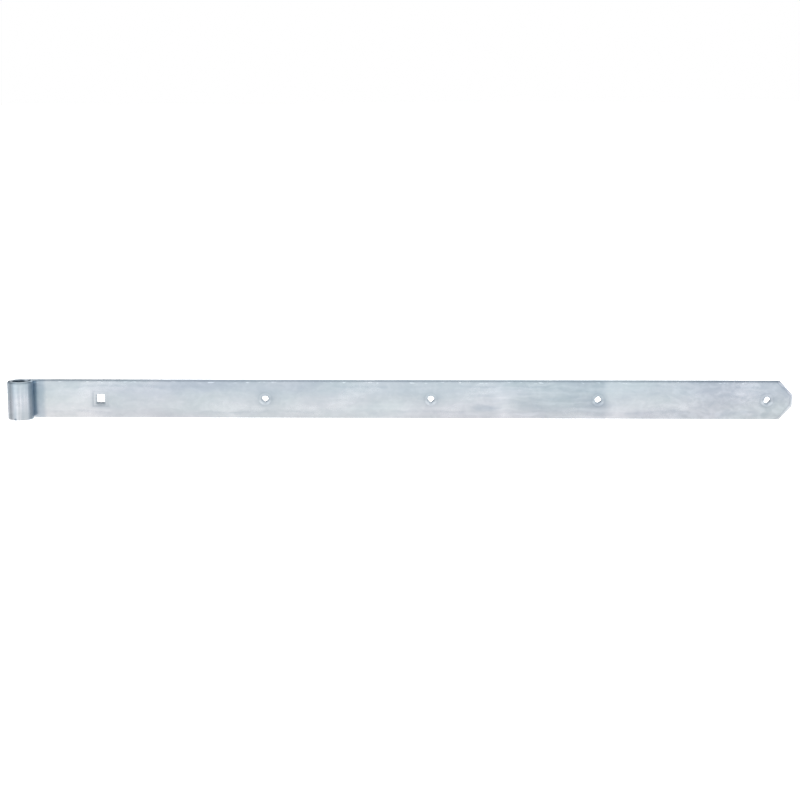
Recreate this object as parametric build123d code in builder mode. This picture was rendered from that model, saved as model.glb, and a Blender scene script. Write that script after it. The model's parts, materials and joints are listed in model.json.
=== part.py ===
import os
from math import asin, atan, cos, degrees, radians, sin

from build123d import *

# Strap hinge for a window shutter: a flat steel bar with one end rolled into an eye.
# Millimetres. The origin is the middle of the eye, on the axis of the hinge pin.
# +Z is up along the pin, +X runs along the strap to its tip, and -Y is the front.

# Flat bar
strap_length = 800.0  # over all, from the round of the eye to the tip
strap_width = 40.0
strap_thickness = 5.0
edge_radius = 2.0  # long edges, as the bar was rolled

# Eye, rolled forward so that its back stays flush with the back of the strap
pin_diameter = 16.0
pin_clearance = 0.4  # on the diameter
seam_gap = 0.4  # between the rolled-in end and the face of the strap
rolled_end_radius = 0.6  # edges of the rolled-in end

# Blunt pointed tip
tip_taper_length = 13.0
tip_flat = 12.0
tip_corner_radius = 2.0  # at the blunt end
cut_edge_radius = 0.5  # cropped edges round the tip

# Square hole for the neck of a carriage bolt, nearest the eye
square_hole = 8.2
square_hole_corner_radius = 0.8
square_hole_from_axis = 81.3

# Round screw holes along the middle of the strap
screw_hole_diameter = 6.5
screw_hole_pitch = 170.0
tip_hole_from_tip = 25.5

# Shallow dish that the punch drew in round every hole, on the front
draw_in_width = 4.0
draw_in_depth = 0.4

bore_radius = (pin_diameter + pin_clearance) / 2
eye_radius = bore_radius + strap_thickness
tip_x = strap_length - eye_radius
strap_front = Plane.XZ.offset(-bore_radius)
strap_back = Plane.XZ.offset(-eye_radius)

# The roll starts square across the strap and stops where its outer corner meets the gap
roll_end_angle = degrees(asin((bore_radius - seam_gap) / eye_radius))
roll_arc = 270 + roll_end_angle
bar_middle_radius = (bore_radius + eye_radius) / 2
roll_end_middle = (
    bar_middle_radius * cos(radians(roll_end_angle)),
    bar_middle_radius * sin(radians(roll_end_angle)),
    0,
)

# Mouth of the dish round the square hole
dish_side = square_hole + 2 * draw_in_width

# Round holes step along from the square one, and the last keeps its distance from the tip
tip_hole_x = tip_x - tip_hole_from_tip
hole_steps = round((tip_hole_x - square_hole_from_axis) / screw_hole_pitch)
screw_hole_places = [square_hole_from_axis + step * screw_hole_pitch for step in range(1, hole_steps)]
screw_hole_places.append(tip_hole_x)

with BuildPart() as hinge_strap:
    # Flat run of the bar, its rounded section drawn out to the tip
    with BuildSketch(Plane.YZ) as bar_section:
        with Locations((bar_middle_radius, 0)):
            RectangleRounded(strap_thickness, strap_width, edge_radius)
    extrude(amount=tip_x)

    # Blunt point, cropped from the bar
    with BuildSketch(strap_back) as outline:
        with BuildLine():
            lower = Polyline(
                (0, 0),
                (0, -strap_width / 2),
                (tip_x - tip_taper_length, -strap_width / 2),
                (tip_x, -tip_flat / 2),
                (tip_x, 0),
            )
            mirror(lower, about=Plane.XZ)
        make_face()
        blunt_corners = outline.vertices().filter_by(lambda corner: corner.X > tip_x - tip_taper_length / 2)
        fillet(blunt_corners, tip_corner_radius)
    extrude(amount=strap_thickness, mode=Mode.INTERSECT)
    cropped = hinge_strap.edges().filter_by(lambda edge: edge.center().X > tip_x - tip_taper_length)
    fillet(cropped.filter_by(Axis.Y, reverse=True), cut_edge_radius)

    # Eye: the same section carried round the pin
    revolve(bar_section.sketch, axis=Axis.Z, revolution_arc=roll_arc)
    rolled_end = hinge_strap.faces().sort_by_distance(roll_end_middle)[0]
    fillet(rolled_end.edges(), rolled_end_radius)

    # Square hole, with the dish narrowing to it from the front face
    with BuildSketch(strap_front) as dish_mouth:
        with Locations((square_hole_from_axis, 0)):
            RectangleRounded(dish_side, dish_side, square_hole_corner_radius + draw_in_width / 2)
    with BuildSketch(strap_front.offset(-draw_in_depth)) as dish_floor:
        with Locations((square_hole_from_axis, 0)):
            RectangleRounded(square_hole, square_hole, square_hole_corner_radius)
    loft(mode=Mode.SUBTRACT)
    extrude(dish_floor.sketch, amount=draw_in_depth - strap_thickness, mode=Mode.SUBTRACT)

    # Round holes, each with a dish of the same width and depth
    with Locations(*[strap_front.location * Location((x, 0, 0)) for x in screw_hole_places]):
        CounterSinkHole(
            radius=screw_hole_diameter / 2,
            counter_sink_radius=screw_hole_diameter / 2 + draw_in_width,
            depth=strap_thickness,
            counter_sink_angle=2 * degrees(atan(draw_in_width / draw_in_depth)),
        )

hinge_strap.part.label = "hinge_strap"
os.makedirs("parts", exist_ok=True)
export_step(hinge_strap.part, "parts/hinge_strap.step")
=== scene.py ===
import json
import math
from types import SimpleNamespace

import bmesh
import bpy
from bpy.props import FloatProperty, FloatVectorProperty, IntProperty, PointerProperty
from bpy.types import Operator, Panel, PropertyGroup
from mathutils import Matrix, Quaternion, Vector


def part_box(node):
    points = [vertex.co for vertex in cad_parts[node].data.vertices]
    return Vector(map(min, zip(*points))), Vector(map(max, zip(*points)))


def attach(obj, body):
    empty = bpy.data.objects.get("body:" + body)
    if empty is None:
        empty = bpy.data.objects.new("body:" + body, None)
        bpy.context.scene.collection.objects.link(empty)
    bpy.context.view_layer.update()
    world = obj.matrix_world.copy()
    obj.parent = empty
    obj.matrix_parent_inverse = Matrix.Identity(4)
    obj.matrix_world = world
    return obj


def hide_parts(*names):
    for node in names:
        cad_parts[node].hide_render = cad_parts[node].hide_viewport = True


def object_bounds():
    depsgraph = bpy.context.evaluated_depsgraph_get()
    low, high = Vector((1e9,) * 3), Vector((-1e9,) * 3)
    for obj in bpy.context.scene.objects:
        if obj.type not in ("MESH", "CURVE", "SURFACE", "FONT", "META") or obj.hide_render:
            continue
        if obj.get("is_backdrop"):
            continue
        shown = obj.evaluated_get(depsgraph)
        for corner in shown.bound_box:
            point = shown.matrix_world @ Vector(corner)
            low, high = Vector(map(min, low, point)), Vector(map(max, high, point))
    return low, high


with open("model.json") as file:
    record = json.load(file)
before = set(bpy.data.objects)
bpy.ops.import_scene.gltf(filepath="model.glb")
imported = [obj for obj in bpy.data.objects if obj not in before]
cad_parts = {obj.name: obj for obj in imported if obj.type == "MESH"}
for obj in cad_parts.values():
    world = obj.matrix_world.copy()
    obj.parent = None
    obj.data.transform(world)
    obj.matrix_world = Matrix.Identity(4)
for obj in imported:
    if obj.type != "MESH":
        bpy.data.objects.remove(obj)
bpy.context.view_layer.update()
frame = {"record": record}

bl_info = {
    "name": "Galvanised Strap Hinge",
    "version": (1, 0, 0),
    "blender": (4, 5, 0),
    "location": "View3D > Sidebar > Strap Hinge",
    "description": "Models a galvanised shutter strap with a rolled eye, and its studio",
    "category": "Object",
}

MM = 0.001

# Colours that change nothing: grey in soft light, white in multiply, black in lighten or as an amount
NEUTRAL = "#BCBCBC"
WHITE = "#FFFFFF"
BLACK = "#000000"

# Sockets of a Mix node that mixes colours
MIX_AMOUNT, MIX_UNDER, MIX_OVER, MIX_RESULT = 0, 6, 7, 2

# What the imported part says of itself: its box, and its holes by their mounts
strap_low, strap_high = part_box("hinge_strap")
mounts = {mount["name"]: mount for mount in frame["record"]["mounts"]}


def screw_hole_places():
    """Places along the strap of the round holes, from the pairs that the mounts give."""
    places = []
    for name in ("screw_holes_near_eye", "screw_holes_near_tip"):
        middle = mounts[name]["pos_m"][0]
        half_spacing = mounts[name]["dims"]["spacing_x_mm"] * MM / 2
        places += [middle - half_spacing, middle + half_spacing]
    return places


def slant_normal(sizes):
    """Outward direction of the upper slanted edge of the tip."""
    return Vector(((sizes.width - sizes.tip_flat) / 2, 0, sizes.tip_taper)).normalized()


def linear(hex_colour):
    """Linear RGBA of an sRGB hex colour."""
    channels = [int(hex_colour[i : i + 2], 16) / 255 for i in (1, 3, 5)]
    return [c / 12.92 if c <= 0.04045 else ((c + 0.055) / 1.055) ** 2.4 for c in channels] + [1.0]


def size(name, default, description):
    """A length in metres that the sidebar shows in the scene's units."""
    return FloatProperty(name=name, description=description, default=default, unit="LENGTH", precision=5)


def angle(name, degrees, description):
    """An angle that is given in degrees."""
    return FloatProperty(name=name, description=description, default=math.radians(degrees), subtype="ANGLE")


def tint(name, hex_colour, description):
    """A colour from its sRGB hex value."""
    return FloatVectorProperty(
        name=name, description=description, default=linear(hex_colour), size=4, subtype="COLOR", min=0, max=1
    )


class StrapSizes(PropertyGroup):
    """Sizes of the bar, its eye and its holes"""

    tip_x: size("Tip", strap_high.x, "From the pin axis to the tip")
    width: size("Width", strap_high.z - strap_low.z, "Width of the bar")
    bore_radius: size("Bore Radius", mounts["eye_bore"]["dims"]["r_mm"] * MM, "Inside of the eye")
    eye_radius: size("Eye Radius", strap_high.y, "Outside of the eye, flush with the strap's back")
    edge_radius: size("Edge Radius", 2 * MM, "Rounding of the bar's rolled long edges")
    cut_edge_radius: size("Cut Edge Radius", 0.5 * MM, "Rounding of the cropped and punched edges")
    seam_gap: size("Seam Gap", 0.4 * MM, "Between the rolled-in end and the strap's face")
    tip_taper: size("Tip Taper", 13 * MM, "Length of the slanted corners at the tip")
    tip_flat: size("Tip Flat", 12 * MM, "Height of the blunt end")
    tip_corner_radius: size("Tip Corner Radius", 2 * MM, "Rounding of the blunt end's corners")
    square_hole: size("Square Hole", 8.2 * MM, "Side of the hole for the bolt's square neck")
    square_corner_radius: size("Square Corner Radius", 0.8 * MM, "Rounding in the square hole's corners")
    screw_hole_radius: size(
        "Screw Hole Radius",
        mounts["screw_holes_near_eye"]["dims"]["hole_r_mm"] * MM,
        "Radius of the round holes",
    )
    draw_in_width: size("Draw-in Width", 4 * MM, "Dish that the punch drew in round each hole")
    draw_in_depth: size("Draw-in Depth", 0.4 * MM, "Depth of that dish at the hole's edge")
    wave_length: size("Wave Length", 16 * MM, "Spacing of the shallow waves in the zinc")
    wave_depth: size("Wave Depth", 0.14 * MM, "Depth of the shallow waves in the zinc")
    swelling_spread: angle("Swelling Spread", 34, "Half the spread of a swelling of zinc round a hole's wall")
    eye_steps: IntProperty(name="Eye Steps", description="Facets round the rolled eye", default=48, min=12)
    patch_cells: IntProperty(
        name="Patch Cells",
        description="Mesh cells across the patch that each hole is made in",
        default=10,
        min=4,
    )
    taper_cells: IntProperty(
        name="Taper Cells", description="Mesh cells along each slanted corner of the tip", default=7, min=2
    )


class StageSettings(PropertyGroup):
    """Camera and light"""

    camera_distance: size("Camera Distance", 2.0, "From the strap's face to the camera")
    camera_azimuth: angle("Camera Azimuth", 2.95, "Turn of the view towards the tip")
    camera_elevation: angle("Camera Elevation", 9.5, "Height of the view above level")
    camera_roll: angle("Camera Roll", -0.345, "Turn of the picture about its middle")
    field_width: size("Field Width", 0.81685, "Width of the picture at the strap's face")
    aim_x: size("Aim Along", 0.3898, "Middle of the picture along the strap")
    aim_z: size("Aim Height", -0.0007, "Middle of the picture above the pin's middle")
    key_azimuth: angle("Key Azimuth", 20, "Turn of the bright front of the studio towards the tip")
    surround_strength: FloatProperty(
        name="Surround", description="Brightness of the studio's white front", default=1.46, min=0
    )
    floor_colour: tint("Floor", "#F4F4F4", "Pale studio floor")
    floor_side: size("Floor Side", 40, "Side of the studio floor, which runs off to the horizon")
    fill_strength: FloatProperty(
        name="Overhead Fill", description="Overhead light that keeps the floor white", default=4.5, min=0
    )
    fill_spread: angle("Fill Spread", 60, "How wide the overhead light looks from the floor")
    fill_tilt: angle("Fill Tilt", 25, "Lean of the overhead light towards the front")


def add_node(tree, kind, settings=None, inputs=None):
    """Add one node with its settings and colour stops, and set or link its inputs by name or number."""
    made = tree.nodes.new(kind)
    for name, value in (settings or {}).items():
        if name != "stops":
            setattr(made, name, value)
            continue
        elements = made.color_ramp.elements
        while len(elements) < len(value):
            elements.new(1.0)
        for element, (position, colour) in zip(elements, value):
            element.position = position
            element.color = linear(colour)
    for name, value in (inputs or {}).items():
        if isinstance(value, bpy.types.NodeSocket):
            tree.links.new(value, made.inputs[name])
        else:
            made.inputs[name].default_value = value
    return made


def new_material(name):
    """An empty node material and its tree."""
    material = bpy.data.materials.new(name)
    material.use_nodes = True
    material.node_tree.nodes.clear()
    return material, material.node_tree


def stretched_grain(tree, place, across_mm, detail=3.0):
    """Noise whose grain is as long, deep and high as given in millimetres."""
    scaled = add_node(
        tree, "ShaderNodeMapping", None, {"Vector": place, "Scale": [1 / (mm * MM) for mm in across_mm]}
    )
    return add_node(
        tree, "ShaderNodeTexNoise", None, {"Vector": scaled.outputs[0], "Scale": 1.0, "Detail": detail}
    )


def radii_from(tree, place, centre_mm, radii_mm):
    """Distance from a centre, counted in the radii of an ellipsoid round it."""
    moved = add_node(
        tree,
        "ShaderNodeMapping",
        {"vector_type": "TEXTURE"},
        {"Vector": place, "Location": [c * MM for c in centre_mm], "Scale": [r * MM for r in radii_mm]},
    )
    distance = add_node(tree, "ShaderNodeVectorMath", {"operation": "LENGTH"}, {0: moved.outputs[0]})
    return distance.outputs["Value"]


def stops_along(sizes, tones):
    """Colour stops at places along the strap, which are given in millimetres from the pin axis."""
    return [(x * MM / sizes.tip_x, tone) for x, tone in tones]


def zinc_places(tree, sizes):
    """Where a point of the coat lies: its true place, and one that drifts so that a mark's edges wander."""
    place = add_node(tree, "ShaderNodeTexCoord").outputs["Object"]
    along, depth, height = add_node(tree, "ShaderNodeSeparateXYZ", None, {"Vector": place}).outputs
    wander = stretched_grain(tree, place, (26, 30, 14), 4.0)
    centred = add_node(
        tree,
        "ShaderNodeVectorMath",
        {"operation": "SUBTRACT"},
        {0: wander.outputs["Color"], 1: (0.5, 0.5, 0.5)},
    )
    wander_range = (22 * MM, 0, 9 * MM)
    drift = add_node(
        tree,
        "ShaderNodeVectorMath",
        {"operation": "MULTIPLY_ADD"},
        {0: centred.outputs[0], 1: wander_range, 2: place},
    ).outputs[0]
    drift_along, _, drift_height = add_node(tree, "ShaderNodeSeparateXYZ", None, {"Vector": drift}).outputs
    share_along = add_node(tree, "ShaderNodeMapRange", None, {"Value": drift_along, "From Max": sizes.tip_x})
    return SimpleNamespace(
        place=place,
        along=along,
        depth=depth,
        height=height,
        wander=wander.outputs["Fac"],
        drift=drift,
        drift_height=drift_height,
        share_along=share_along.outputs["Result"],
    )


def hole_distances(tree, zinc):
    """How far a point lies from the nearest round hole, from the square one, and to its lower left."""
    flat = add_node(tree, "ShaderNodeVectorMath", {"operation": "MULTIPLY"}, {0: zinc.place, 1: (1, 0, 1)})
    nearest = 1.0  # metres, farther than any hole
    for x in screw_hole_places():
        from_hole = add_node(
            tree, "ShaderNodeVectorMath", {"operation": "DISTANCE"}, {0: flat.outputs[0], 1: (x, 0, 0)}
        )
        nearest = add_node(
            tree, "ShaderNodeMath", {"operation": "MINIMUM"}, {0: from_hole.outputs["Value"], 1: nearest}
        ).outputs[0]
    square_x = mounts["square_bolt_hole"]["pos_m"][0]
    from_square = add_node(
        tree, "ShaderNodeVectorMath", {"operation": "SUBTRACT"}, {0: flat.outputs[0], 1: (square_x, 0, 0)}
    ).outputs[0]
    to_lower_left = add_node(
        tree, "ShaderNodeVectorMath", {"operation": "DOT_PRODUCT"}, {0: from_square, 1: (-1, 0, -1)}
    )
    unsigned = add_node(tree, "ShaderNodeVectorMath", {"operation": "ABSOLUTE"}, {0: from_square})
    aside, _, above = add_node(tree, "ShaderNodeSeparateXYZ", None, {"Vector": unsigned.outputs[0]}).outputs
    from_sides = add_node(tree, "ShaderNodeMath", {"operation": "MAXIMUM"}, {0: aside, 1: above})
    return SimpleNamespace(
        round=nearest, square=from_sides.outputs[0], to_lower_left=to_lower_left.outputs["Value"]
    )


def coat_by_height(tree, sizes, zinc):
    """Colour of the coat, bluer and duller towards the upper edge."""
    height_share = add_node(
        tree,
        "ShaderNodeMapRange",
        None,
        {"Value": zinc.drift_height, "From Min": -sizes.width / 2, "From Max": sizes.width / 2},
    )
    stops = ((0.0, "#ABAEB1"), (0.25, "#B1B6B9"), (0.5, "#AFB5B9"), (0.72, "#ABB3B9"), (0.95, "#A9B2B8"))
    coat = add_node(tree, "ShaderNodeValToRGB", {"stops": stops}, {"Fac": height_share.outputs["Result"]})
    return coat.outputs["Color"]


def cloud_layers(tree, zinc, clouds):
    """Clouds, lilac where the zinc is bright and slate where it is dull, and a slower change of hue."""
    cloud_tint = add_node(
        tree,
        "ShaderNodeValToRGB",
        {"stops": ((0.3, "#9BA0A8"), (0.45, "#B7B9BC"), (0.55, "#BDBCC0"), (0.72, "#DEDADC"))},
        {"Fac": clouds},
    )
    hue = stretched_grain(tree, zinc.place, (85, 60, 30), 2.0).outputs["Fac"]
    hue_tint = add_node(
        tree, "ShaderNodeValToRGB", {"stops": ((0.35, "#B6BEBC"), (0.65, "#C1BBC1"))}, {"Fac": hue}
    )
    amount = 0.45
    return [("SOFT_LIGHT", cloud_tint, amount), ("SOFT_LIGHT", hue_tint, amount)]


def zone_layers(tree, sizes, zinc):
    """Zones along the bar, and soft patches where the coat is duller or brighter."""
    # By millimetres along the strap: pale beside the eye, a dull stretch with pale rims, and a duller tip
    zones = (
        (19, NEUTRAL),
        (24, "#D0CDCA"),
        (70, "#CECBC9"),
        (100, NEUTRAL),
        (484, NEUTRAL),
        (495, "#C8C8C8"),
        (506, "#B7B8B8"),
        (560, "#B1B2B3"),
        (596, "#AAACAE"),
        (602, "#C9C9C9"),
        (645, "#BDBDBD"),
        (685, "#B5B5B6"),
        (700, "#ACACAE"),
        (745, "#B0B0B1"),
    )
    zone_tint = add_node(
        tree, "ShaderNodeValToRGB", {"stops": stops_along(sizes, zones)}, {"Fac": zinc.share_along}
    )
    layers = [("SOFT_LIGHT", zone_tint, 1.0)]

    # Patches by their middles and half-sizes in millimetres; each goes right through the bar
    through_bar = 1000
    for (x, z), (half_length, half_height), tone in (
        ((190, 15), (54, 9), "#ABADB0"),
        ((372, -13), (50, 11), "#CACACA"),
        ((478, -8), (17, 4.5), "#A3A7AB"),
        ((556, -5), (58, 11), "#ACAEB0"),
        ((655, -16), (44, 8), "#AEAFB2"),
        ((727, -1), (32, 8), "#ADAFB0"),
        ((727, -16), (32, 7), "#C5C5C7"),
    ):
        from_patch = radii_from(tree, zinc.drift, (x, 0, z), (half_length, through_bar, half_height))
        patch_tint = add_node(
            tree, "ShaderNodeValToRGB", {"stops": ((0.5, tone), (1.0, NEUTRAL))}, {"Fac": from_patch}
        )
        layers.append(("SOFT_LIGHT", patch_tint, 1.0))
    return layers


def streak_layers(tree, sizes, zinc):
    """Drain streaks along the bar, strongest in the dull stretch."""
    streaks = add_node(
        tree,
        "ShaderNodeValToRGB",
        {"stops": ((0.32, "#A0A5AB"), (0.5, NEUTRAL), (0.68, "#DADADC"))},
        {"Fac": stretched_grain(tree, zinc.drift, (38, 30, 3.2)).outputs["Fac"]},
    )
    strengths = ((440, "#666666"), (500, "#A8A8A8"), (590, "#A8A8A8"), (610, "#666666"))
    streaked = add_node(
        tree, "ShaderNodeValToRGB", {"stops": stops_along(sizes, strengths)}, {"Fac": zinc.share_along}
    )
    return [("SOFT_LIGHT", streaks, streaked.outputs["Color"])]


def long_edge_layers(tree, sizes, zinc):
    """Lines inside both long edges, and on the upper one a painted dark reflection along its rounding and
    painted glints just under it.
    """
    # Dull lines that come and go, well inside both long edges
    line_low, line_high = 11 * MM, 16 * MM
    from_middle = add_node(tree, "ShaderNodeMath", {"operation": "ABSOLUTE"}, {0: zinc.drift_height})
    edge_line = add_node(
        tree,
        "ShaderNodeMapRange",
        None,
        {"Value": from_middle.outputs[0], "From Min": line_low, "From Max": line_high},
    )
    line_tint = add_node(
        tree,
        "ShaderNodeValToRGB",
        {"stops": ((0.05, WHITE), (0.45, "#F0F2F4"), (0.95, WHITE))},
        {"Fac": edge_line.outputs["Result"]},
    )
    line_grain = stretched_grain(tree, zinc.place, (40, 90, 22)).outputs["Fac"]
    line_lengths = add_node(
        tree, "ShaderNodeMapRange", None, {"Value": line_grain, "From Min": 0.46, "From Max": 0.62}
    )

    # Painted dark reflection on the rounding of the upper edge, towards both ends of the bar
    upper_edge = add_node(
        tree,
        "ShaderNodeMapRange",
        None,
        {"Value": zinc.height, "From Min": sizes.width / 2 - sizes.edge_radius, "From Max": sizes.width / 2},
    )
    painted_edge_reflection_tint = add_node(
        tree,
        "ShaderNodeValToRGB",
        {"stops": ((0.2, WHITE), (0.6, "#C6CACD"), (1.0, "#A9ADB1"))},
        {"Fac": upper_edge.outputs["Result"]},
    )
    strengths = (
        (14, BLACK),
        (30, "#E8E8E8"),
        (100, "#CACACA"),
        (150, BLACK),
        (590, BLACK),
        (640, "#BCBCBC"),
        (700, "#E8E8E8"),
    )
    near_ends = add_node(
        tree, "ShaderNodeValToRGB", {"stops": stops_along(sizes, strengths)}, {"Fac": zinc.share_along}
    )

    # Painted glints: bright flecks just under the upper edge, where small ripples of zinc catch the light
    fleck_grain = stretched_grain(tree, zinc.place, (6, 6, 2), 2.0).outputs["Fac"]
    flecks = add_node(
        tree, "ShaderNodeMapRange", None, {"Value": fleck_grain, "From Min": 0.58, "From Max": 0.66}
    )
    fleck_low, fleck_high = 14 * MM, 20 * MM
    fleck_band = add_node(
        tree,
        "ShaderNodeMapRange",
        None,
        {"Value": zinc.height, "From Min": fleck_low, "From Max": fleck_high},
    )
    painted_glint_tint = add_node(
        tree,
        "ShaderNodeValToRGB",
        {"stops": ((0.34, NEUTRAL), (0.45, "#F2F2F2"), (0.58, "#F2F2F2"), (0.7, NEUTRAL))},
        {"Fac": fleck_band.outputs["Result"]},
    )
    return [
        ("MULTIPLY", line_tint, line_lengths.outputs["Result"]),
        ("MULTIPLY", painted_edge_reflection_tint, near_ends.outputs["Color"]),
        ("SOFT_LIGHT", painted_glint_tint, flecks.outputs["Result"]),
    ]


def mottle_layers(tree, sizes, zinc, mottle):
    """Mottle of the cooled zinc, which stands out more towards the tip."""
    mottle_tint = add_node(
        tree,
        "ShaderNodeValToRGB",
        {"stops": ((0.34, "#A0A5A9"), (0.5, NEUTRAL), (0.66, "#DADADC"))},
        {"Fac": mottle},
    )
    strengths = ((620, "#808080"), (700, "#B4B4B4"), (760, "#B4B4B4"))
    mottled = add_node(
        tree, "ShaderNodeValToRGB", {"stops": stops_along(sizes, strengths)}, {"Fac": zinc.share_along}
    )
    return [("SOFT_LIGHT", mottle_tint, mottled.outputs["Color"])]


def eye_layers(tree, sizes, zinc):
    """Streaks on the outside of the eye, a painted highlight down its front and painted shade on its flank.
    """
    # Streaks that ran down the eye
    run_down = add_node(
        tree,
        "ShaderNodeValToRGB",
        {"stops": ((0.34, "#98A0A6"), (0.5, NEUTRAL), (0.66, "#E6E6E8"))},
        {"Fac": stretched_grain(tree, zinc.place, (2.6, 2.6, 34)).outputs["Fac"]},
    )
    radius = sizes.eye_radius
    on_eye = add_node(
        tree,
        "ShaderNodeMapRange",
        None,
        {"Value": zinc.along, "From Min": radius, "From Max": 1.3 * radius, "To Min": 0.45, "To Max": 0.0},
    )

    # A painted highlight: a bright band down its front
    just_before_face = sizes.bore_radius - 0.1 * MM
    before_strap = add_node(
        tree, "ShaderNodeMath", {"operation": "LESS_THAN"}, {0: zinc.depth, 1: just_before_face}
    )
    highlight_band = add_node(
        tree,
        "ShaderNodeMapRange",
        None,
        {"Value": zinc.along, "From Min": -0.45 * radius, "From Max": 0.2 * radius},
    )
    painted_highlight_tint = add_node(
        tree,
        "ShaderNodeValToRGB",
        {"stops": ((0.0, NEUTRAL), (0.3, "#CDD1D5"), (0.55, "#D2D4D6"), (0.85, NEUTRAL))},
        {"Fac": highlight_band.outputs["Result"]},
    )

    # Painted shade on its flank, deepest in the crease beside the strap
    beside = add_node(
        tree,
        "ShaderNodeMapRange",
        None,
        {"Value": zinc.along, "From Min": 0.4 * radius, "From Max": 0.8 * radius},
    )
    inward = add_node(
        tree,
        "ShaderNodeMapRange",
        None,
        {"Value": zinc.depth, "From Min": -0.88 * radius, "From Max": 0.23 * radius},
    )
    flank = beside.outputs["Result"]
    for other in (inward.outputs["Result"], before_strap.outputs[0]):
        flank = add_node(tree, "ShaderNodeMath", {"operation": "MULTIPLY"}, {0: flank, 1: other}).outputs[0]
    painted_crease_shade_tint = add_node(
        tree, "ShaderNodeValToRGB", {"stops": ((0.0, WHITE), (1.0, "#90B1C8"))}, {"Fac": flank}
    )
    return [
        ("SOFT_LIGHT", run_down, on_eye.outputs["Result"]),
        ("SOFT_LIGHT", painted_highlight_tint, before_strap.outputs[0]),
        ("MULTIPLY", painted_crease_shade_tint, 1.0),
    ]


def beside_eye_layers(tree, sizes, zinc):
    """Painted shade on the front of the strap beside the eye, which starts at a sharp line."""
    beside_eye = add_node(
        tree,
        "ShaderNodeMapRange",
        None,
        {"Value": zinc.along, "From Min": sizes.eye_radius, "From Max": 2 * sizes.eye_radius},
    )
    painted_beside_eye_shade_tint = add_node(
        tree,
        "ShaderNodeValToRGB",
        {"stops": ((0.0, WHITE), (0.02, "#EBF3F8"), (0.66, "#E8EDF1"), (0.92, WHITE))},
        {"Fac": beside_eye.outputs["Result"]},
    )
    fade_start, fade_end = sizes.bore_radius + 1 * MM, sizes.bore_radius + 2 * MM
    on_front = add_node(
        tree,
        "ShaderNodeMapRange",
        None,
        {"Value": zinc.depth, "From Min": fade_start, "From Max": fade_end, "To Min": 1.0, "To Max": 0.0},
    )
    return [("MULTIPLY", painted_beside_eye_shade_tint, on_front.outputs["Result"])]


def painted_highlight_and_shadow_layers(tree, zinc):
    """A painted highlight on the end of the roll, where a bead of zinc catches the light, and a painted
    shadow at the foot of the eye.
    """
    layers = []

    # Painted highlight and painted shadow, by their middles and radii in millimetres
    for centre, radius, tone in (
        ((10.8, 5.0, 19.0), 3.6, WHITE),
        ((-2.8, -12.9, -18.9), 2.0, "#101214"),
    ):
        from_spot = radii_from(tree, zinc.place, centre, (radius, radius, radius))
        painted_spot_tint = add_node(
            tree, "ShaderNodeValToRGB", {"stops": ((0.4, tone), (1.0, NEUTRAL))}, {"Fac": from_spot}
        )
        layers.append(("SOFT_LIGHT", painted_spot_tint, 1.0))
    return layers


def bore_layers(tree, sizes, zinc):
    """Painted shade inside the eye's bore."""
    level = add_node(tree, "ShaderNodeVectorMath", {"operation": "MULTIPLY"}, {0: zinc.place, 1: (1, 1, 0)})
    from_pin = add_node(tree, "ShaderNodeVectorMath", {"operation": "LENGTH"}, {0: level.outputs[0]})
    fade_start, fade_end = sizes.bore_radius + 0.2 * MM, sizes.bore_radius + 1.2 * MM
    out_of_bore = add_node(
        tree,
        "ShaderNodeMapRange",
        None,
        {"Value": from_pin.outputs["Value"], "From Min": fade_start, "From Max": fade_end},
    )
    painted_bore_shade_tint = add_node(
        tree,
        "ShaderNodeValToRGB",
        {"stops": ((0.0, "#7C858E"), (1.0, WHITE))},
        {"Fac": out_of_bore.outputs["Result"]},
    )
    return [("MULTIPLY", painted_bore_shade_tint, 1.0)]


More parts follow.
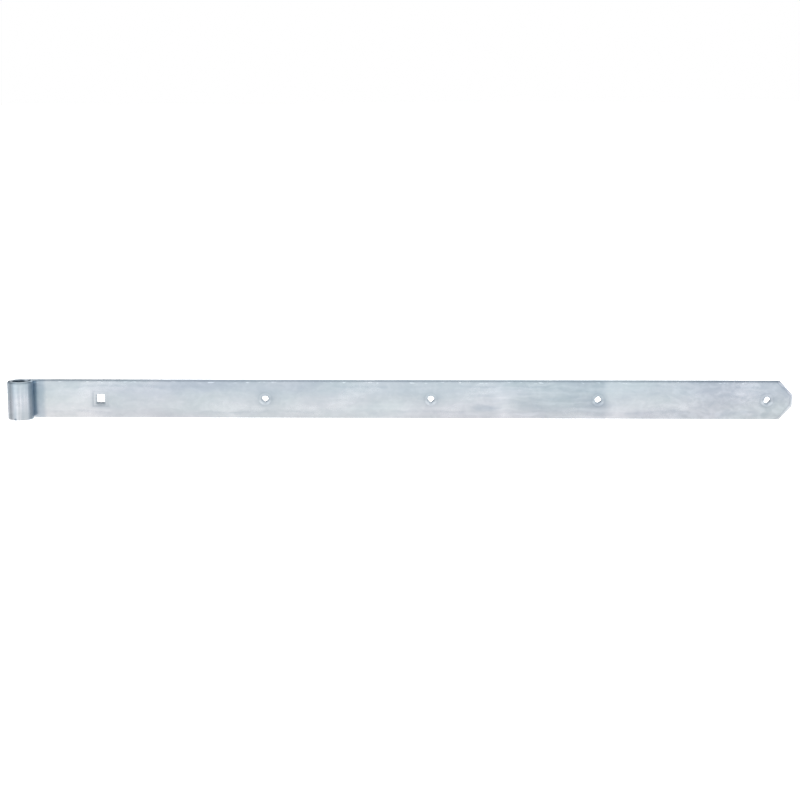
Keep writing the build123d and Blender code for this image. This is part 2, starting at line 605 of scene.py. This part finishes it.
def ring_layers(tree, sizes, zinc, holes):
    """Dull rings round the holes, partly zinc and partly painted shading of the punched dishes, and painted
    light at the foot of each round one.
    """
    # The square hole's ring shows most to the lower left
    gathered = add_node(
        tree,
        "ShaderNodeMapRange",
        None,
        {
            "Value": holes.to_lower_left,
            "From Min": -sizes.square_hole,
            "From Max": sizes.square_hole,
            "To Min": 0.15,
        },
    )
    # Each ring is partly dull zinc and partly painted shading of the dish round the hole
    round_stops = ((0.3, "#E6E9EC"), (0.42, "#F8F9FA"), (0.56, "#EBEEF0"), (0.68, "#F8F9FA"), (0.95, WHITE))
    square_stops = ((0.38, "#DCE0E4"), (0.5, "#FDFDFD"), (0.64, "#D8DCE0"), (0.74, "#F2F3F5"), (0.95, WHITE))
    ring_start, ring_end, unevenness = 1.5 * MM, 13.5 * MM, 3 * MM
    layers = []
    for distance, stops, amount in (
        (holes.round, round_stops, 1.0),
        (holes.square, square_stops, gathered.outputs["Result"]),
    ):
        uneven = add_node(
            tree,
            "ShaderNodeMath",
            {"operation": "MULTIPLY_ADD"},
            {0: zinc.wander, 1: unevenness, 2: distance},
        )
        reach = add_node(
            tree,
            "ShaderNodeMapRange",
            None,
            {"Value": uneven.outputs[0], "From Min": ring_start, "From Max": ring_end},
        )
        ring_and_dish_shade_tint = add_node(tree, "ShaderNodeValToRGB", {"stops": stops}, {"Fac": reach.outputs["Result"]})
        layers.append(("MULTIPLY", ring_and_dish_shade_tint, amount))

    # Painted light at the foot of each round hole, which lifts the shade on its lower wall and dish
    dish_reach = sizes.screw_hole_radius + sizes.draw_in_width
    foot_reach = add_node(
        tree,
        "ShaderNodeMapRange",
        None,
        {"Value": holes.round, "From Min": sizes.screw_hole_radius, "From Max": dish_reach},
    )
    painted_foot_light_tint = add_node(
        tree,
        "ShaderNodeValToRGB",
        {"stops": ((0.0, WHITE), (0.35, "#FAFAFA"), (0.65, "#E2E2E2"), (1.0, NEUTRAL))},
        {"Fac": foot_reach.outputs["Result"]},
    )
    foot_high, foot_low = -0.5 * MM, -3 * MM
    at_foot = add_node(
        tree, "ShaderNodeMapRange", None, {"Value": zinc.height, "From Min": foot_high, "From Max": foot_low}
    )
    layers.append(("SOFT_LIGHT", painted_foot_light_tint, at_foot.outputs["Result"]))
    return layers


def tip_layers(tree, sizes, zinc):
    """Thick, pale zinc along the cropped edges of the tip, with a dull line inside it; the band is also a
    painted highlight and the line a painted shade of those edges.
    """
    slope = slant_normal(sizes)
    blunt_corner = Vector((sizes.tip_x, 0, sizes.tip_flat / 2))
    upper_half = add_node(tree, "ShaderNodeVectorMath", {"operation": "ABSOLUTE"}, {0: zinc.place})
    up_slope = add_node(
        tree, "ShaderNodeVectorMath", {"operation": "DOT_PRODUCT"}, {0: upper_half.outputs[0], 1: slope}
    )
    to_slant = add_node(
        tree,
        "ShaderNodeMath",
        {"operation": "SUBTRACT"},
        {0: slope.dot(blunt_corner), 1: up_slope.outputs["Value"]},
    )
    to_end = add_node(tree, "ShaderNodeMath", {"operation": "SUBTRACT"}, {0: sizes.tip_x, 1: zinc.along})
    to_crop = add_node(
        tree, "ShaderNodeMath", {"operation": "MINIMUM"}, {0: to_slant.outputs[0], 1: to_end.outputs[0]}
    )
    crop_grain = stretched_grain(tree, zinc.place, (5, 5, 5), 2.0).outputs["Fac"]
    band_start, band_end, unevenness = 1 * MM, 6 * MM, 3 * MM
    uneven = add_node(
        tree,
        "ShaderNodeMath",
        {"operation": "MULTIPLY_ADD"},
        {0: crop_grain, 1: unevenness, 2: to_crop.outputs[0]},
    )
    reach = add_node(
        tree,
        "ShaderNodeMapRange",
        None,
        {"Value": uneven.outputs[0], "From Min": band_start, "From Max": band_end},
    )
    stops = ((0.2, "#CECACB"), (0.44, "#D9D5D5"), (0.56, "#9E9FA2"), (0.7, "#B0B0B2"), (0.9, NEUTRAL))
    crop_zinc_and_painted_edge_light_tint = add_node(tree, "ShaderNodeValToRGB", {"stops": stops}, {"Fac": reach.outputs["Result"]})
    return [("SOFT_LIGHT", crop_zinc_and_painted_edge_light_tint, 1.0)]


def wall_layers(tree, sizes, zinc, holes):
    """Painted shade on the punched walls of the holes."""
    wider = sizes.square_hole / 2 - sizes.screw_hole_radius
    from_square = add_node(tree, "ShaderNodeMath", {"operation": "SUBTRACT"}, {0: holes.square, 1: wider})
    from_hole = add_node(
        tree, "ShaderNodeMath", {"operation": "MINIMUM"}, {0: from_square.outputs[0], 1: holes.round}
    )
    wall, face = sizes.screw_hole_radius, sizes.bore_radius
    outside_wall = add_node(
        tree,
        "ShaderNodeMapRange",
        None,
        {"Value": from_hole.outputs[0], "From Min": wall + 0.2 * MM, "From Max": wall + 0.5 * MM},
    )
    painted_wall_shade_tint = add_node(
        tree,
        "ShaderNodeValToRGB",
        {"stops": ((0.0, "#A8AEB4"), (1.0, WHITE))},
        {"Fac": outside_wall.outputs["Result"]},
    )
    behind_face = add_node(
        tree,
        "ShaderNodeMapRange",
        None,
        {"Value": zinc.depth, "From Min": face + 1 * MM, "From Max": face + 1.6 * MM},
    )
    return [("MULTIPLY", painted_wall_shade_tint, behind_face.outputs["Result"])]


def galvanised_steel(sizes):
    """Hot-dip galvanised steel: zinc that ran off along the bar and cooled in the air.

    It is a satin blue-grey metal with soft clouds, drain streaks along the bar, faint mottle and dull rings
    round the holes, partly gathered zinc and partly painted shade. It carries painted highlights, glints,
    shade and reflections on the eye, the upper edge, the holes and the tip.
    """
    material, tree = new_material("hot_dip_galvanised_steel")
    zinc = zinc_places(tree, sizes)
    holes = hole_distances(tree, zinc)
    clouds = stretched_grain(tree, zinc.place, (40, 30, 22), 5.0).outputs["Fac"]
    mottle = stretched_grain(tree, zinc.drift, (6, 6, 4.5), 4.0).outputs["Fac"]

    # Each layer is a way to blend, a tint and an amount, and the next one lies over it
    layers = [
        *cloud_layers(tree, zinc, clouds),
        *zone_layers(tree, sizes, zinc),
        *streak_layers(tree, sizes, zinc),
        *long_edge_layers(tree, sizes, zinc),
        *mottle_layers(tree, sizes, zinc, mottle),
        *eye_layers(tree, sizes, zinc),
        *beside_eye_layers(tree, sizes, zinc),
        *painted_highlight_and_shadow_layers(tree, zinc),
        *bore_layers(tree, sizes, zinc),
        *ring_layers(tree, sizes, zinc, holes),
        *tip_layers(tree, sizes, zinc),
        *wall_layers(tree, sizes, zinc, holes),
    ]
    coat = coat_by_height(tree, sizes, zinc)
    for blend, over, amount in layers:
        coat = add_node(
            tree,
            "ShaderNodeMix",
            {"data_type": "RGBA", "blend_type": blend},
            {MIX_AMOUNT: amount, MIX_UNDER: coat, MIX_OVER: over.outputs["Color"]},
        ).outputs[MIX_RESULT]

    # The brighter clouds are the smoother ones, and the mottle stands up a little
    shine = add_node(
        tree,
        "ShaderNodeMapRange",
        None,
        {"Value": clouds, "From Min": 0.3, "From Max": 0.7, "To Min": 0.36, "To Max": 0.25},
    )
    mottle_height = 0.05 * MM
    relief = add_node(
        tree, "ShaderNodeBump", None, {"Strength": 1.0, "Distance": mottle_height, "Height": mottle}
    )
    shader = add_node(
        tree,
        "ShaderNodeBsdfPrincipled",
        None,
        {
            "Base Color": coat,
            "Metallic": 1.0,
            "Roughness": shine.outputs["Result"],
            "Normal": relief.outputs["Normal"],
        },
    )
    add_node(tree, "ShaderNodeOutputMaterial", None, {"Surface": shader.outputs["BSDF"]})
    return material


def opal_acrylic(colour):
    """Opal acrylic, cast and lit from below: no sheen, and too bright for a shadow to show."""
    material, tree = new_material("cast_opal_acrylic")
    shader = add_node(
        tree,
        "ShaderNodeBsdfPrincipled",
        None,
        {
            "Base Color": colour,
            "Roughness": 0.9,
            "Specular IOR Level": 0.0,
            "Emission Color": colour,
            "Emission Strength": 0.7,
        },
    )
    add_node(tree, "ShaderNodeOutputMaterial", None, {"Surface": shader.outputs["BSDF"]})
    return material


def white_studio(settings):
    """Surroundings that the zinc reflects; the camera itself sees a plain white page."""
    world = bpy.data.worlds.new("white_studio")
    world.use_nodes = True
    tree = world.node_tree
    tree.nodes.clear()
    facing = add_node(tree, "ShaderNodeTexCoord").outputs["Generated"]

    # Walls: a broad bright front, dimmer sides, a softer light behind
    turned = add_node(
        tree, "ShaderNodeMapping", None, {"Vector": facing, "Rotation": (0, 0, -settings.key_azimuth)}
    )
    _, depth, height = add_node(
        tree, "ShaderNodeSeparateXYZ", None, {"Vector": turned.outputs[0]}
    ).outputs
    front_to_back = add_node(
        tree, "ShaderNodeMapRange", None, {"Value": depth, "From Min": -1.0, "From Max": 1.0}
    )
    wall_stops = (
        (0.18, WHITE),
        (0.25, "#F8F8F8"),
        (0.31, "#E8EAEC"),
        (0.41, "#D8DBDE"),
        (0.56, "#C4C6C9"),
        (0.63, "#A4A7AB"),
        (0.68, "#A4A7AB"),
        (0.78, "#DADCDE"),
        (0.95, "#D6D8DB"),
        (0.985, "#4A4D52"),
    )
    wall = add_node(
        tree, "ShaderNodeValToRGB", {"stops": wall_stops}, {"Fac": front_to_back.outputs["Result"]}
    )

    # A ceiling that is dim low down, and a white table and top
    floor_to_ceiling = add_node(
        tree, "ShaderNodeMapRange", None, {"Value": height, "From Min": -1.0, "From Max": 1.0}
    ).outputs["Result"]
    ceiling_stops = (
        (0.5, WHITE),
        (0.56, "#E4E7EA"),
        (0.64, "#989FA7"),
        (0.74, "#989FA7"),
        (0.88, "#F2F3F4"),
    )
    ceiling = add_node(tree, "ShaderNodeValToRGB", {"stops": ceiling_stops}, {"Fac": floor_to_ceiling})
    table_and_top = add_node(
        tree,
        "ShaderNodeValToRGB",
        {"stops": ((0.2, WHITE), (0.4, BLACK), (0.75, BLACK), (0.92, "#E2E4E6"))},
        {"Fac": floor_to_ceiling},
    )

    # A white backdrop behind the strap, which ends short of the eye
    sideways, away, _ = add_node(tree, "ShaderNodeSeparateXYZ", None, {"Vector": facing}).outputs
    backdrop_edge = add_node(
        tree, "ShaderNodeMapRange", None, {"Value": sideways, "From Min": -0.2, "From Max": -0.12}
    )
    backdrop_behind = add_node(
        tree, "ShaderNodeMapRange", None, {"Value": away, "From Min": 0.5, "From Max": 0.8}
    )
    backdrop = add_node(
        tree,
        "ShaderNodeMath",
        {"operation": "MULTIPLY"},
        {0: backdrop_edge.outputs["Result"], 1: backdrop_behind.outputs["Result"]},
    )

    room = wall.outputs["Color"]
    for blend, over in (("MULTIPLY", ceiling), ("LIGHTEN", table_and_top), ("LIGHTEN", backdrop)):
        room = add_node(
            tree,
            "ShaderNodeMix",
            {"data_type": "RGBA", "blend_type": blend},
            {MIX_AMOUNT: 1.0, MIX_UNDER: room, MIX_OVER: over.outputs[0]},
        ).outputs[MIX_RESULT]
    surround = add_node(
        tree, "ShaderNodeBackground", None, {"Color": room, "Strength": settings.surround_strength}
    )
    page = add_node(tree, "ShaderNodeBackground", None, {"Color": linear(WHITE), "Strength": 1.0})
    seen = add_node(tree, "ShaderNodeLightPath").outputs["Is Camera Ray"]
    mix = add_node(
        tree, "ShaderNodeMixShader", None, {0: seen, 1: surround.outputs[0], 2: page.outputs[0]}
    )
    add_node(tree, "ShaderNodeOutputWorld", None, {"Surface": mix.outputs[0]})
    return world


def deselect_all():
    """Leave nothing selected, so that the next operator acts on its own piece alone."""
    if bpy.context.object and bpy.context.object.mode != "OBJECT":
        bpy.ops.object.mode_set(mode="OBJECT")
    bpy.ops.object.select_all(action="DESELECT")


def pick(piece, kind, test):
    """In edit mode, select only the edges or faces that pass the test."""
    bpy.ops.mesh.select_mode(type={"edges": "EDGE", "faces": "FACE"}[kind])
    bpy.ops.mesh.select_all(action="DESELECT")
    mesh = bmesh.from_edit_mesh(piece.data)
    chosen = [element for element in getattr(mesh, kind) if test(element)]
    if not chosen:
        raise RuntimeError(f"{piece.name}: no {kind} to select")
    for element in chosen:
        element.select_set(True)
    mesh.select_flush_mode()
    bmesh.update_edit_mesh(piece.data)


def middle(element):
    """Middle of an edge or a face."""
    corners = element.verts
    return sum((corner.co for corner in corners), Vector()) / len(corners)


def rounded_square(side, corner_radius):
    """How far the outline of a square with rounded corners stands from its centre, by angle."""
    straight = side / 2 - corner_radius

    def reach(angle):
        along, across = sorted((abs(math.cos(angle)), abs(math.sin(angle))), reverse=True)
        if across / along * side / 2 <= straight:
            return side / 2 / along
        return straight * (along + across) + math.sqrt(corner_radius**2 - (straight * (along - across)) ** 2)

    return reach


def swelling(angle, swellings, spread):
    """How far zinc stands out from a hole's wall at an angle, from the places where it is thickest."""
    thickness = 0.0
    for degrees, thickest in swellings:
        aside = math.remainder(angle - math.radians(degrees), math.tau)
        thickness += thickest * MM * math.exp(-((aside / spread) ** 2))
    return thickness


class HINGE_OT_galvanised_strap(Operator):
    """Model the punched strap with its rolled eye"""

    bl_idname = "hinge.galvanised_strap"
    bl_label = "Galvanised Strap"

    # Zinc that froze in each round hole: its direction in degrees from the tip's side, and its millimetres
    swellings_in_holes = (
        ((90, 0.5), (224, 0.9), (306, 0.8)),
        ((222, 0.8), (313, 0.9)),
        ((33, 0.7), (124, 0.5), (306, 0.7)),
        ((169, 0.8), (125, 0.6), (315, 0.8)),
    )

    # Closer than this, a point of the mesh counts as being at a place
    close = 0.01 * MM

    # Edges that turn more than this are the bar's long corners, are softened by zinc, or look crisp
    corner_turn = math.radians(60)
    softened_turn = math.radians(35)
    crisp_turn = math.radians(40)

    def execute(self, context):
        sizes = context.scene.strap_sizes
        deselect_all()
        strap, cell = self.lay_sheet(sizes)
        self.punch_holes(strap, cell, sizes)
        self.draw_back(sizes)
        self.roll_eye(strap, sizes)
        self.round_long_edges(strap, cell, sizes)
        self.crop_tip(strap, sizes)
        bpy.ops.object.mode_set(mode="OBJECT")
        self.coat_unevenly(strap, sizes)
        strap.data.materials.clear()
        strap.data.materials.append(galvanised_steel(sizes))
        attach(strap, "root")
        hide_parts("hinge_strap")
        return {"FINISHED"}

    def lay_sheet(self, sizes):
        """Lay the bar's front face as a sheet of near-square cells, and leave it in edit mode."""
        columns = round(sizes.tip_x / (sizes.tip_taper / sizes.taper_cells))
        rows = round(sizes.width / ((sizes.width - sizes.tip_flat) / 2 / sizes.taper_cells))
        bpy.ops.mesh.primitive_grid_add(x_subdivisions=columns, y_subdivisions=rows, size=1)
        strap = bpy.context.object
        strap.name = strap.data.name = "galvanised_strap"
        bpy.ops.object.mode_set(mode="EDIT")
        bpy.ops.transform.resize(value=(sizes.tip_x, sizes.width, 1))
        bpy.ops.transform.rotate(value=math.pi / 2, orient_axis="X", center_override=(0, 0, 0))
        bpy.ops.transform.translate(value=(sizes.tip_x / 2, sizes.bore_radius, 0))
        return strap, Vector((sizes.tip_x / columns, 0, sizes.width / rows))

    def punch_holes(self, strap, cell, sizes):
        """Punch the square hole and the round ones along the middle of the sheet."""
        square_x = mounts["square_bolt_hole"]["pos_m"][0]
        square = rounded_square(sizes.square_hole, sizes.square_corner_radius)
        circle = rounded_square(2 * sizes.screw_hole_radius, sizes.screw_hole_radius)
        self.punch(strap, square_x, square, (), cell, sizes)
        for x, swellings in zip(screw_hole_places(), self.swellings_in_holes):
            self.punch(strap, x, circle, swellings, cell, sizes)

    def punch(self, strap, x, outline, swellings, cell, sizes):
        """Open a patch of cells and close it in to a hole with a dish round it."""
        centre = Vector((x, sizes.bore_radius, 0))
        half = sizes.patch_cells / 2 * cell
        pick(
            strap,
            "faces",
            lambda face: abs(middle(face).x - centre.x) < half.x and abs(middle(face).z) < half.z,
        )
        bpy.ops.mesh.delete(type="FACE")
        past_corners = 1.1 * half.length
        pick(
            strap,
            "edges",
            lambda edge: edge.is_boundary and (middle(edge) - centre).length < past_corners,
        )
        mouth, hole = sizes.draw_in_width, 0
        for wider, depth in ((mouth, 0), (hole, sizes.draw_in_depth)):
            bpy.ops.mesh.extrude_edges_move(TRANSFORM_OT_translate={"value": (0, depth, 0)})
            mesh = bmesh.from_edit_mesh(strap.data)
            for vert in mesh.verts:
                if vert.select:
                    angle = math.atan2(vert.co.z - centre.z, vert.co.x - centre.x)
                    out = outline(angle) + wider
                    if wider == hole:
                        out -= swelling(angle, swellings, sizes.swelling_spread)
                    vert.co.x = centre.x + out * math.cos(angle)
                    vert.co.z = centre.z + out * math.sin(angle)
            bmesh.update_edit_mesh(strap.data)

    def draw_back(self, sizes):
        """Give the sheet its thickness, and a flat back behind the dishes."""
        thickness = sizes.eye_radius - sizes.bore_radius
        bpy.ops.mesh.select_all(action="SELECT")
        bpy.ops.mesh.extrude_region_move(TRANSFORM_OT_translate={"value": (0, thickness, 0)})
        bpy.ops.transform.resize(value=(1, 0, 1), center_override=(0, sizes.eye_radius, 0))

    def roll_eye(self, strap, sizes):
        """Carry the bar's end round the pin until it nearly meets the strap's face."""
        pick(strap, "faces", lambda face: all(abs(vert.co.x) < self.close for vert in face.verts))
        roll_end = math.asin((sizes.bore_radius - sizes.seam_gap) / sizes.eye_radius)
        bpy.ops.mesh.spin(
            steps=sizes.eye_steps, angle=1.5 * math.pi + roll_end, center=(0, 0, 0), axis=(0, 0, -1)
        )
        bpy.ops.mesh.select_all(action="SELECT")
        bpy.ops.mesh.remove_doubles(threshold=self.close / 10)
        bpy.ops.mesh.normals_make_consistent(inside=False)

    def round_long_edges(self, strap, cell, sizes):
        """Make the outermost row of cells wide enough for the rounding of the long edges, and round them."""
        thickness = sizes.eye_radius - sizes.bore_radius
        rim = sizes.width / 2
        next_row = rim - cell.z
        pick(
            strap,
            "edges",
            lambda line: all(abs(abs(vert.co.z) - next_row) < self.close for vert in line.verts),
        )
        bpy.ops.mesh.dissolve_edges(use_verts=True)
        pick(
            strap,
            "edges",
            lambda line: all(abs(abs(vert.co.z) - rim) < self.close for vert in line.verts)
            and line.calc_face_angle() > self.corner_turn
            and line.calc_length() < thickness / 2,
        )
        bpy.ops.mesh.bevel(
            offset_type="OFFSET", offset=sizes.edge_radius, segments=4, profile=0.5, clamp_overlap=False
        )

    def crop_tip(self, strap, sizes):
        """Cut off both corners for the blunt point, and round the two corners of its end."""
        slant = slant_normal(sizes)
        for side in (-1, 1):
            bpy.ops.mesh.select_all(action="SELECT")
            bpy.ops.mesh.bisect(
                plane_co=(sizes.tip_x, sizes.bore_radius, side * sizes.tip_flat / 2),
                plane_no=(slant.x, 0, side * slant.z),
                clear_outer=True,
                use_fill=True,
            )
        corner = Vector((sizes.tip_x, 0, sizes.tip_flat / 2))
        near_corner = 10 * self.close
        pick(
            strap,
            "edges",
            lambda line: all(
                abs(vert.co.x - corner.x) < near_corner and abs(abs(vert.co.z) - corner.z) < near_corner
                for vert in line.verts
            ),
        )
        bpy.ops.mesh.bevel(
            offset_type="OFFSET",
            offset=sizes.tip_corner_radius * math.tan(slant.angle(Vector((1, 0, 0))) / 2),
            segments=3,
            profile=0.5,
        )

    def coat_unevenly(self, strap, sizes):
        """Soften the cropped and punched edges, and let the face sink a little between high spots of zinc."""
        soften = strap.modifiers.new("softened_edges", "BEVEL")
        soften.limit_method = "ANGLE"
        soften.angle_limit = self.softened_turn
        soften.width = sizes.cut_edge_radius
        soften.segments = 2
        soften.use_clamp_overlap = False
        bpy.ops.object.modifier_apply(modifier=soften.name)
        waves = bpy.data.textures.new("zinc_waves", "CLOUDS")
        waves.noise_scale = sizes.wave_length
        waves.noise_depth = 2
        uneven = strap.modifiers.new("uneven_zinc", "DISPLACE")
        uneven.texture = waves
        uneven.mid_level = 1.0
        uneven.strength = sizes.wave_depth
        bpy.ops.object.modifier_apply(modifier=uneven.name)
        bpy.ops.object.shade_smooth_by_angle(angle=self.crisp_turn)


class HINGE_OT_studio(Operator):
    """Set the floor, the light and the camera"""

    bl_idname = "hinge.studio"
    bl_label = "Studio"

    def execute(self, context):
        settings = context.scene.stage_settings
        strap_front = context.scene.strap_sizes.bore_radius
        aim = Vector((settings.aim_x, strap_front, settings.aim_z))
        low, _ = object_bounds()
        deselect_all()

        # Floor, burnt out to white; it stays out of the zinc's reflections, as with a card held before it
        bpy.ops.mesh.primitive_plane_add(size=settings.floor_side, location=(aim.x, 0, low.z))
        floor = context.object
        floor.name = floor.data.name = "studio_floor"
        floor.data.materials.append(opal_acrylic(settings.floor_colour))
        floor.visible_glossy = False
        floor.visible_shadow = False
        floor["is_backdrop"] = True

        # Light: the surroundings, and a broad sun that only the floor needs
        context.scene.world = white_studio(settings)
        fill_data = bpy.data.lights.new("overhead_fill", "SUN")
        fill_data.energy = settings.fill_strength
        fill_data.angle = settings.fill_spread
        fill = bpy.data.objects.new("overhead_fill", fill_data)
        fill.rotation_euler = (settings.fill_tilt, 0, 0)
        fill.visible_glossy = False
        context.scene.collection.objects.link(fill)

        # Camera, turned and raised about the place that it aims at
        camera_data = bpy.data.cameras.new("camera")
        camera = bpy.data.objects.new("camera", camera_data)
        context.scene.collection.objects.link(camera)
        context.scene.camera = camera
        turn, rise = settings.camera_azimuth, settings.camera_elevation
        back = Vector((math.sin(turn) * math.cos(rise), -math.cos(turn) * math.cos(rise), math.sin(rise)))
        camera.location = aim + back * settings.camera_distance
        level = (-back).to_track_quat("-Z", "Y")
        camera.rotation_euler = (level @ Quaternion((0, 0, 1), settings.camera_roll)).to_euler()
        camera_data.lens = camera_data.sensor_width * settings.camera_distance / settings.field_width
        context.scene.view_settings.view_transform = "Standard"
        return {"FINISHED"}


class HINGE_PT_sidebar(Panel):
    """Buttons and sizes for the strap hinge"""

    bl_idname = "HINGE_PT_sidebar"
    bl_label = "Strap Hinge"
    bl_space_type = "VIEW_3D"
    bl_region_type = "UI"
    bl_category = "Strap Hinge"

    def draw(self, context):
        for operator in operators:
            self.layout.operator(operator.bl_idname)
        for settings in (context.scene.strap_sizes, context.scene.stage_settings):
            box = self.layout.box()
            for name in settings.__annotations__:
                box.prop(settings, name)


operators = (HINGE_OT_galvanised_strap, HINGE_OT_studio)
classes = (StrapSizes, StageSettings, *operators, HINGE_PT_sidebar)


def register():
    for cls in classes:
        bpy.utils.register_class(cls)
    bpy.types.Scene.strap_sizes = PointerProperty(type=StrapSizes)
    bpy.types.Scene.stage_settings = PointerProperty(type=StageSettings)


def unregister():
    del bpy.types.Scene.stage_settings
    del bpy.types.Scene.strap_sizes
    for cls in reversed(classes):
        bpy.utils.unregister_class(cls)


def main():
    register()
    bpy.ops.hinge.galvanised_strap()
    bpy.ops.hinge.studio()


if __name__ == "__main__":
    main()
